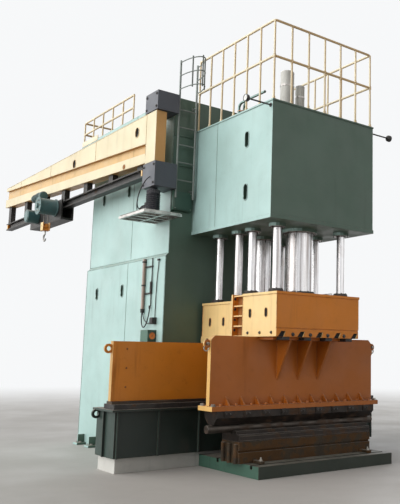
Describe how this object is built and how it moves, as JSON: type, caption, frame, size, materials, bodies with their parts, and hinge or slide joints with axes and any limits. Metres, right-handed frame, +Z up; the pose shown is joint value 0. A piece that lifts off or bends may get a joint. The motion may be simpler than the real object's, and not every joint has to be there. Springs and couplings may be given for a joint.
{
  "type": "hydraulic press",
  "caption": "Single-arm hydraulic press: box column with overhanging head, slide on plungers and guide rods, two die beams over beds, roof rails and a slewing jib hoist.",
  "frame": {"origin": "on the floor, in the middle of the head's width, under the front station", "axes": "+Z up, -Y to the front where the head overhangs, +X to the press's right seen from the front"},
  "size_m": [5.004, 9.212, 6.268],
  "materials": {
    "press_green": "satin mint green machine paint",
    "bed_green": "dark green paint, oily and dusty",
    "slide_yellow": "satin machine yellow paint",
    "jib_yellow": "pale yellow crane paint",
    "jib_web_orange": "orange paint in shade",
    "rail_yellow": "pale yellow tube paint",
    "die_rust": "rusty and oily tool steel",
    "black_steel": "oily black steel",
    "bare_steel": "machined steel",
    "rod_chrome": "ground and chromed rod",
    "pale_grey": "pale grey paint",
    "packing_timber": "dark used packing timber",
    "hoist_teal": "dark teal motor paint"
  },
  "bodies": {
    "frame": {"column": "press_green", "head_walls": "press_green", "head_roof": "press_green", "head_floor": "press_green", "front_cylinder": "bare_steel", "rear_cylinder": "bare_steel", "bolster": "press_green", "lower_die_body": "die_rust", "grooved_die": "black_steel", "rear_plinth": "pale_grey", "rear_bed": "bed_green", "rear_lower_die": "black_steel", "packing_strip": "packing_timber", "guard_rail": "rail_yellow", "rear_platform": "press_green", "rear_rail": "rail_yellow", "access_ladder": "pale_grey", "prefill_tanks": "pale_grey", "pump_set": "black_steel", "valve_pipes": "press_green", "left_lamp": "black_steel", "right_lamp": "black_steel", "conduit": "black_steel", "dial_box": "press_green", "upper_bracket": "black_steel", "lower_bracket": "black_steel", "slewing_drive": "black_steel", "drive_platform": "bare_steel"},
    "slide": {"slide_front_block": "slide_yellow", "slide_rear_block": "slide_yellow", "front_plunger": "rod_chrome", "rear_plunger": "rod_chrome", "guide_rod_1": "rod_chrome", "guide_rod_2": "rod_chrome", "guide_rod_3": "rod_chrome", "guide_rod_4": "rod_chrome", "guide_rod_5": "rod_chrome", "guide_rod_6": "rod_chrome", "guide_rod_7": "rod_chrome", "guide_rod_8": "rod_chrome", "die_beam": "slide_yellow", "upper_die": "black_steel", "punch_bar": "bare_steel", "rear_beam": "slide_yellow"},
    "jib": {"jib_hub": "jib_yellow", "jib_upper_box": "jib_yellow", "jib_web": "jib_web_orange", "jib_lower_box": "jib_yellow", "runway_rail": "black_steel"},
    "trolley": {"trolley_frame": "black_steel", "hoist_drum": "hoist_teal", "hoist_gearbox": "hoist_teal", "travel_motor": "hoist_teal", "hook_block": "black_steel"},
    "front_left_wheel": {"front_left_wheel": "bare_steel"},
    "front_right_wheel": {"front_right_wheel": "bare_steel"},
    "rear_left_wheel": {"rear_left_wheel": "bare_steel"},
    "rear_right_wheel": {"rear_right_wheel": "bare_steel"},
    "hook": {"hook": "bare_steel"}
  },
  "joints": [
    {"name": "slide_stroke", "type": "slide", "parent": "frame", "child": "slide", "axis": [0, 0, 1], "range_m": [0, 0.8]},
    {"name": "jib_slew", "type": "hinge", "parent": "frame", "child": "jib", "pos_m": [-1.625, 1.11, 4.46], "axis": [0, 0, 1], "range_deg": [0, 160]},
    {"name": "trolley_travel", "type": "slide", "parent": "jib", "child": "trolley", "axis": [0, -1, 0], "range_m": [-1.7, 3]},
    {"name": "hook_swivel", "type": "hinge", "parent": "trolley", "child": "hook", "pos_m": [-1.9153, 4.9, 3.84], "axis": [0, 0, 1], "continuous": true},
    {"name": "front_left_wheel_spin", "type": "hinge", "parent": "trolley", "child": "front_left_wheel", "pos_m": [-1.657, 4.9, 4.3453], "axis": [1, 0, 0], "range_deg": [-4000, 4000]},
    {"name": "front_right_wheel_spin", "type": "hinge", "parent": "trolley", "child": "front_right_wheel", "pos_m": [-1.593, 4.9, 4.3453], "axis": [1, 0, 0], "range_deg": [-4000, 4000]},
    {"name": "rear_left_wheel_spin", "type": "hinge", "parent": "trolley", "child": "rear_left_wheel", "pos_m": [-1.657, 6, 4.3453], "axis": [1, 0, 0], "range_deg": [-4000, 4000]},
    {"name": "rear_right_wheel_spin", "type": "hinge", "parent": "trolley", "child": "rear_right_wheel", "pos_m": [-1.593, 6, 4.3453], "axis": [1, 0, 0], "range_deg": [-4000, 4000]}
  ],
  "couplings": [
    {"joint": "front_left_wheel_spin", "follows": "trolley_travel", "rad_per_m": 22.222},
    {"joint": "front_right_wheel_spin", "follows": "trolley_travel", "rad_per_m": 22.222},
    {"joint": "rear_left_wheel_spin", "follows": "trolley_travel", "rad_per_m": 22.222},
    {"joint": "rear_right_wheel_spin", "follows": "trolley_travel", "rad_per_m": 22.222}
  ]
}
